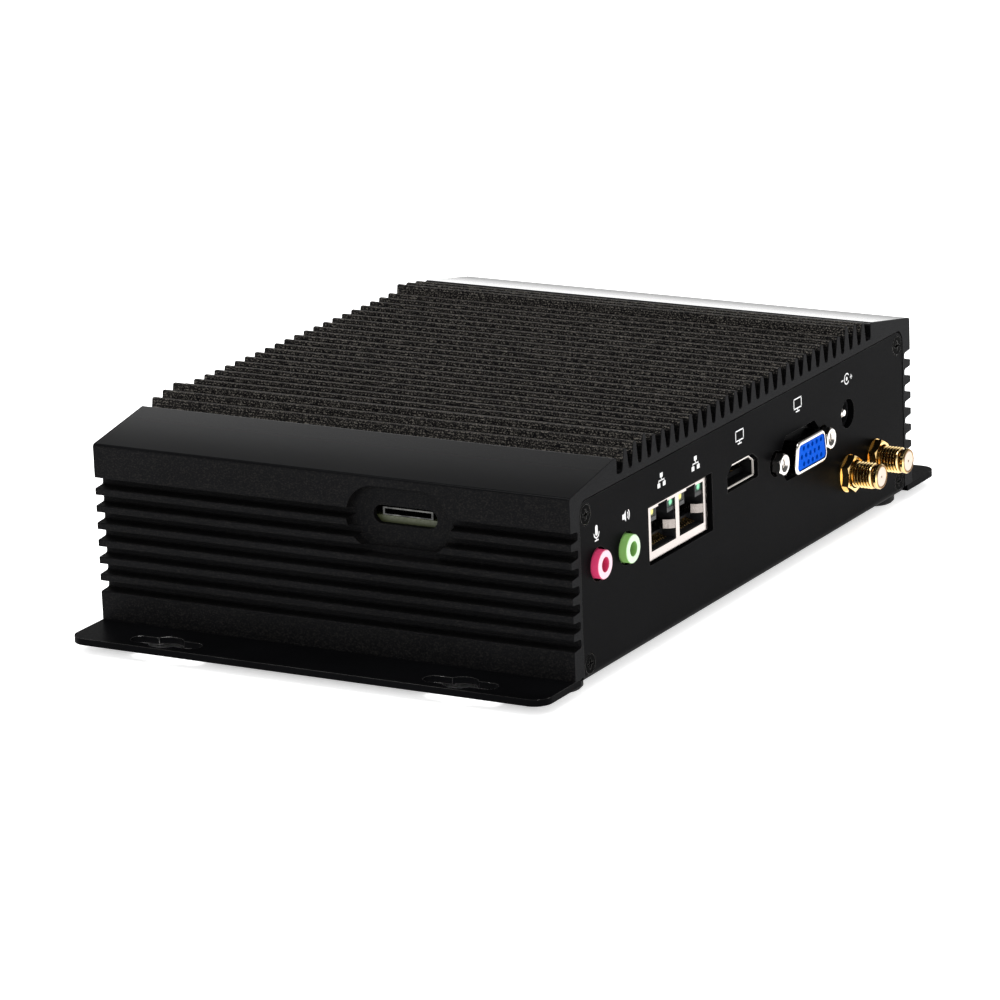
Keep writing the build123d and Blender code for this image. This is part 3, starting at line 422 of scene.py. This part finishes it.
flanks = (("root", 0), ("root", 0.14), ("crest", 0.46), ("crest", 0.68))  # a thread's corners, in pitches


# Screw thread round an axis along Y: a zigzag that climbs one pitch in a turn, cut at both ends.
def thread(form, centre, size, ends, steps=48):
    pitch = size["pitch"]
    outline = []
    for i in range(int((ends[1] - ends[0]) / pitch) + 3):
        low = ends[0] - 1.5 * pitch + i * pitch
        outline += [(size[radius], low + share * pitch) for radius, share in flanks]
    skin = bmesh.new()
    lathe(skin, centre, outline, steps, pitch)
    bmesh.ops.remove_doubles(skin, verts=skin.verts, dist=0.001)
    for y, outward in ((ends[0], -1), (ends[1], 1)):
        bmesh.ops.bisect_plane(skin, geom=skin.verts[:] + skin.edges[:] + skin.faces[:], plane_co=(0, y, 0),
                               plane_no=(0, outward, 0), clear_outer=True)
    for vert in skin.verts:  # the tip's chamfer
        away = Vector((vert.co.x - centre[0], 0, vert.co.z - centre[1]))
        limit = size["tip"] + (vert.co.y - ends[0])
        if away.length > limit:
            vert.co.x = centre[0] + away.x * limit / away.length
            vert.co.z = centre[1] + away.z * limit / away.length
    join(form, skin)


print("antenna connectors")
antenna = {"tip": middleY - 71.55, "tipR": 2.8, "collar": 1.15, "collarR": (3.05, 3.0),
           "collarEdge": (0.35, 0.1), "groove": 0.35, "grooveR": 2.5,
           "boreR": 2.45, "boreEdge": (0.08, 0.1), "boreDepth": 8.5,
           "threadEnd": middleY - 64.95, "stepR": 2.7, "neckR": 3.0,
           "flangeY": middleY - 60.35, "flange": 3.5, "flangeR": 4.62, "tailR": 1.6, "tailEnd": 7.5,
           "thread": {"pitch": 0.80, "root": 2.68, "crest": 3.175, "tip": 2.66}}
tip = antenna["tip"]
collarEnd = tip + antenna["collar"]
threadStart = collarEnd + antenna["groove"]
threadEnd = antenna["threadEnd"]
boreEnd = tip + antenna["boreDepth"]
flangeY = antenna["flangeY"]
form = bmesh.new()
for spot in antennaSpots:
    thread(form, spot, antenna["thread"], (threadStart, threadEnd))
    lathe(form, spot, [  # from the thread's start over the collar at the tip to the bottom of the bore
        (antenna["thread"]["tip"], threadStart), (antenna["grooveR"], threadStart),
        (antenna["grooveR"], collarEnd), (antenna["collarR"][1], collarEnd - antenna["collarEdge"][1]),
        (antenna["collarR"][0], tip + antenna["collarEdge"][0]), (antenna["tipR"], tip),
        (antenna["boreR"] + antenna["boreEdge"][0], tip), (antenna["boreR"], tip + antenna["boreEdge"][1]),
        (antenna["boreR"], boreEnd), (nearAxis, boreEnd)])
    lathe(form, spot, [(antenna["stepR"], threadEnd), (antenna["neckR"], threadEnd),
                       (antenna["neckR"], flangeY)])
    middle = Vector((spot[0], flangeY + antenna["flange"] / 2, spot[1]))
    bmesh.ops.create_cone(form, cap_ends=True, segments=6, radius1=antenna["flangeR"],
                          radius2=antenna["flangeR"], depth=antenna["flange"],
                          matrix=Matrix.Translation(middle) @ Matrix.Rotation(radians(90), 4, "X"))
    lathe(form, spot, [(antenna["tailR"], flangeY + antenna["flange"]),
                       (antenna["tailR"], flangeY + antenna["tailEnd"]),
                       (nearAxis, flangeY + antenna["tailEnd"])], 24)
barrels = newPiece("antennaBarrels", form, "goldThread", True)
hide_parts("antenna_connectors")

core = {"holeR": 0.32, "faceR": 2.35, "rimR": 2.42,
        "holeAt": 0.12, "faceAt": 0.06, "rimAt": 0.2, "endAt": 8.4}  # how far behind the tip
form = bmesh.new()
for spot in antennaSpots:
    lathe(form, spot, [(core["holeR"], tip + core["endAt"]), (core["holeR"], tip + core["holeAt"]),
                       (core["faceR"], tip + core["faceAt"]), (core["rimR"], tip + core["rimAt"]),
                       (core["rimR"], tip + core["endAt"]), (core["holeR"], tip + core["endAt"])], 40)
cores = newPiece("antennaCores", form, "ivory", True)
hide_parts("antenna_insulators")

print("lock threads")
lock = {"spots": ((13.15, 27.8), (38.15, 27.8)), "mouth": middleY - 63.7, "end": middleY - 61.35,
        "thread": {"pitch": 0.64, "root": 1.24, "crest": 1.06, "tip": 9.0}}  # a tip so wide has no chamfer
form = bmesh.new()
for spot in lock["spots"]:
    thread(form, spot, lock["thread"], (lock["mouth"], lock["end"]), 32)
newPiece("lockThreads", form, "nickel", True)

print("contacts and springs")
hdTongue = {"x": -4.05, "front": middleY - 59.25, "along": (0.35, 4.5), "pitch": 1.0, "width": 0.28,
            "height": 0.05, "rows": ((10, 30.3, 1), (9, 29.0, -1))}  # contacts, level of the face, its side
usb = {"x": (8.0, 28.0), "z": (29.95, 22.35), "front": middleY + 62.55, "wall": 2.5, "contactHalf": 0.5,
       "contactX": (-3.5, -1.0, 1.0, 3.5), "contactY": (-10.5, -2.6), "contactZ": (0.02, 0.09),
       "springX": (-3.2, 3.2), "springHalf": 0.9, "sheet": 0.12,
       "bends": ((-0.8, 0.02), (-2.2, 0.5), (-6.0, 0.02))}  # along Y from the front, and in from the wall
form = bmesh.new()
for count, face, out in hdTongue["rows"]:
    for i in range(count):
        x = hdTongue["x"] + (i - (count - 1) / 2) * hdTongue["pitch"]
        bar(form, (x - hdTongue["width"] / 2, x + hdTongue["width"] / 2),
            [hdTongue["front"] + y for y in hdTongue["along"]],
            sorted((face, face + out * hdTongue["height"])))
for x in usb["x"]:
    for z in usb["z"]:
        for side in usb["contactX"]:
            bar(form, (x + side - usb["contactHalf"], x + side + usb["contactHalf"]),
                [usb["front"] + y for y in usb["contactY"]], [z + up for up in usb["contactZ"]])
newPiece("socketContacts", form, "gold")


# Bent spring strip: points in a plane, drawn out along one direction and given its sheet thickness.
def strip(form, points, along, sheet):
    part = bmesh.new()
    line = [part.verts.new(point) for point in points]
    edges = [part.edges.new(pair) for pair in zip(line, line[1:])]
    grown = bmesh.ops.extrude_edge_only(part, edges=edges)["geom"]
    bmesh.ops.translate(part, verts=[v for v in grown if isinstance(v, bmesh.types.BMVert)], vec=along)
    bmesh.ops.recalc_face_normals(part, faces=part.faces)
    bmesh.ops.solidify(part, geom=part.faces[:], thickness=sheet)
    join(form, part)


networkSpring = {"wallX": (-36.0, -22.25), "front": middleY - 60.85, "z": 25.4, "height": 2.1, "sheet": 0.15,
                 "bends": ((0, 0), (-1.0, 1.0), (-1.6, 2.4), (-1.1, 4.6), (0, 6.0))}
form = bmesh.new()
for wall in networkSpring["wallX"]:
    points = [(wall + x, networkSpring["front"] + y, networkSpring["z"]) for x, y in networkSpring["bends"]]
    strip(form, points, (0, 0, networkSpring["height"]), networkSpring["sheet"])
for x in usb["x"]:
    for z in usb["z"]:
        for side in usb["springX"]:
            edge = x + side - usb["springHalf"]
            for face, out in ((z - usb["wall"], 1), (z + usb["wall"], -1)):
                points = [(edge, usb["front"] + y, face + out * inward) for y, inward in usb["bends"]]
                strip(form, points, (2 * usb["springHalf"], 0, 0), usb["sheet"])
newPiece("socketSprings", form, "springSteel")

print("signs")
signs = {"microphone": (-75.26, 34.98), "speaker": (-61.46, 35.19),
         "network": ((-44.16, 38.99), (-27.46, 38.59)), "display": ((-5.21, 39.09), (25.14, 39.19)),
         "power": (51.74, 38.99), "face": panelY - 0.015, "line": 0.24, "thickness": 0.01, "scale": 1.3}
line = signs["line"]
form = bmesh.new()


def patch(x, z, wide, high):  # flat printed rectangle, from the middle of the sign
    place = Matrix.Translation((x, 0, z)) @ Matrix.Rotation(pi / 2, 4, "X")
    bmesh.ops.create_grid(form, x_segments=1, y_segments=1, size=0.5,
                          matrix=place @ Matrix.Diagonal((wide, high, 1, 1)))


def arc(x, z, inner, outer, start, sweep, steps=20):  # printed part of a ring, angles from +X towards +Z
    ends = [form.verts.new((x + r * cos(start), 0, z + r * sin(start))) for r in (inner, outer)]
    edge = form.edges.new(ends)
    bmesh.ops.spin(form, geom=ends + [edge], cent=(x, 0, z), axis=(0, -1, 0), angle=sweep, steps=steps)


def microphoneSign():
    patch(0, 0.45, 0.86, 1.0)
    arc(0, 0.95, nearAxis, 0.43, 0, pi)
    arc(0, -0.05, nearAxis, 0.43, pi, pi)
    arc(0, 0.05, 0.78, 0.78 + line, pi, pi)
    patch(0, -1.05, line, 0.4)
    patch(0, -1.3, 1.3, line)


def speakerSign():
    patch(-0.95, 0, 0.6, 0.9)
    for i in range(6):
        patch(-0.6 + i * 0.11, 0, 0.12, 0.9 + i * 0.2)
    arc(0.05, 0, 0.62, 0.62 + line, -pi / 4, pi / 2)
    arc(0.05, 0, 1.1, 1.1 + line, -pi / 4, pi / 2)


def networkSign():
    patch(0, 0.85, 1.0, 0.8)
    patch(0, 0.2, line, 0.6)
    patch(0, -0.05, 2.2, line)
    for side in (-1, 1):
        patch(side * 1.0, -0.3, line, 0.5)
        patch(side * 1.0, -0.85, 1.0, 0.8)


def displaySign():
    for side in (-1, 1):
        patch(side * 1.5, 0.3, line, 2.0)
        patch(0, 0.3 + side * 0.9, 3.2, line)
    patch(0, -0.9, line, 0.45)
    patch(0, -1.2, 1.5, line)


def powerSign():
    arc(0, 0, nearAxis, 0.36, 0, 2 * pi, 24)
    arc(0, 0, 0.85, 0.85 + line, radians(35), radians(290), 32)
    for side in (-1, 1):
        patch(side * 1.85, 0, 0.9, line)
    patch(1.85, 0, line, 0.9)


kinds = ((microphoneSign, (signs["microphone"],)), (speakerSign, (signs["speaker"],)),
         (networkSign, signs["network"]), (displaySign, signs["display"]), (powerSign, (signs["power"],)))
for draw, spots in kinds:
    for x, z in spots:
        before = set(form.verts)
        draw()
        fresh = [vert for vert in form.verts if vert not in before]
        bmesh.ops.scale(form, verts=fresh, vec=(signs["scale"], 1, signs["scale"]))
        bmesh.ops.translate(form, verts=fresh, vec=(x, signs["face"], z))
bmesh.ops.solidify(form, geom=form.faces[:], thickness=signs["thickness"])
newPiece("panelSigns", form, "print")

print("camera")
view = {"azimuth": -1.049904, "rise": 0.275756, "roll": -0.038743, "distance": 1274.2528, "aimZ": 4.0,
        "shiftRight": 5.0907, "shiftUp": -11.4952, "lens": 192.0397, "sensor": 36.0, "clip": (0.05, 20.0)}
level = cos(view["rise"])
toCamera = Vector((sin(view["azimuth"]) * level, -cos(view["azimuth"]) * level, sin(view["rise"])))
right = (-toCamera).cross(Vector((0, 0, 1))).normalized()
up = right.cross(-toCamera)
turnedRight = cos(view["roll"]) * right + sin(view["roll"]) * up
turnedUp = -sin(view["roll"]) * right + cos(view["roll"]) * up
cameraAt = toCamera * view["distance"] - view["shiftRight"] * turnedRight - view["shiftUp"] * turnedUp
cameraAt += Vector((0, middleY, view["aimZ"]))
cameraData = bpy.data.cameras.new("camera")
cameraData.lens = view["lens"]
cameraData.sensor_width = view["sensor"]
cameraData.clip_start, cameraData.clip_end = view["clip"]
camera = bpy.data.objects.new("camera", cameraData)
bpy.context.scene.collection.objects.link(camera)
turned = Matrix((turnedRight, turnedUp, toCamera)).transposed().to_4x4()
camera.matrix_world = Matrix.Translation(cameraAt * mm) @ turned
bpy.context.scene.camera = camera
bpy.context.scene.view_settings.view_transform = "Standard"

print("studio")
lights = {
    "top": {"at": (-0.25, 0.1, 1.2), "aim": (0, 0, 0.03), "size": (0.9, 0.5), "power": 8.0},
    "left": {"at": (-1.2, 0.2, 0.7), "aim": (0, 0, 0.03), "size": (0.3, 0.3), "power": 3.0},
}
for name, light in lights.items():
    data = bpy.data.lights.new(name, "AREA")
    data.shape = "RECTANGLE"
    data.size, data.size_y = light["size"]
    data.energy = light["power"]
    lamp = bpy.data.objects.new(name, data)
    bpy.context.scene.collection.objects.link(lamp)
    away = (Vector(light["at"]) - Vector(light["aim"])).normalized()
    lamp.matrix_world = Matrix.Translation(light["at"]) @ away.to_track_quat("Z", "Y").to_matrix().to_4x4()

# The dome is white to the camera, even for soft light, and graded with one brighter patch for reflections.
dome = {"seen": 1.0, "diffuse": 1.1, "horizon": 1.22, "zenith": 0.12, "low": 0.06, "high": 0.5,
        "glow": 0.42, "glowAt": (0.62, 0.64, 0.46), "glowFull": 0.06, "glowGone": 0.26}
world = bpy.data.worlds.new("world")
bpy.context.scene.world = world
world.use_nodes = True
sky = Shade(world.node_tree)
seen = sky.node("ShaderNodeLightPath", output="Is Camera Ray")
mirrored = sky.node("ShaderNodeLightPath", output="Is Glossy Ray")
heading = sky.node("ShaderNodeTexCoord", output="Generated")
graded = heading.part(2).spread(dome["low"], dome["high"], dome["horizon"], dome["zenith"])
aside = heading.vector("DISTANCE", dome["glowAt"], "Value")
graded = graded + aside.spread(dome["glowFull"], dome["glowGone"], dome["glow"], 0)
strength = seen * dome["seen"] + (1.0 - seen) * (mirrored * graded + (1.0 - mirrored) * dome["diffuse"])
background = world.node_tree.nodes["Background"]
background.inputs["Color"].default_value = (1, 1, 1, 1)
world.node_tree.links.new(strength.socket, background.inputs["Strength"])

paperLook = {"colour": ((0.93, 0.93, 0.93), (0.94, 0.94, 0.94)), "rough": (0.8, 0.9),
             "grain": 500.0, "bump": 0.02}
paper = {"size": 3.0, "glow": 0.6, "x": (90.0, 98.0), "y": (48.0, 58.0)}  # x and y: where the glow sets in
floorForm = bmesh.new()
bmesh.ops.create_grid(floorForm, x_segments=1, y_segments=1, size=paper["size"])
floorMesh = bpy.data.meshes.new("floor")
floorForm.to_mesh(floorMesh)
floorForm.free()
floor = bpy.data.objects.new("floor", floorMesh)
bpy.context.scene.collection.objects.link(floor)
floorPaper = newMaterial("floorPaper", paperLook)
place = Shade(floorPaper.node_tree).node("ShaderNodeTexCoord", output="Object")
besideX = place.part(0).size().spread(paper["x"][0] * mm, paper["x"][1] * mm, 0, 1)
besideY = (place.part(1) - middleY * mm).size().spread(paper["y"][0] * mm, paper["y"][1] * mm, 0, 1)
beside = besideX.maths("MAXIMUM", besideX, besideY)  # no glow under the object: painted shade there, on top of its real shadow
link(floorPaper, "Emission Color", blendColours(beside, (0, 0, 0), (1, 1, 1)))
setPlain(floorPaper, {"Emission Strength": paper["glow"]})
floorMesh.materials.append(floorPaper)
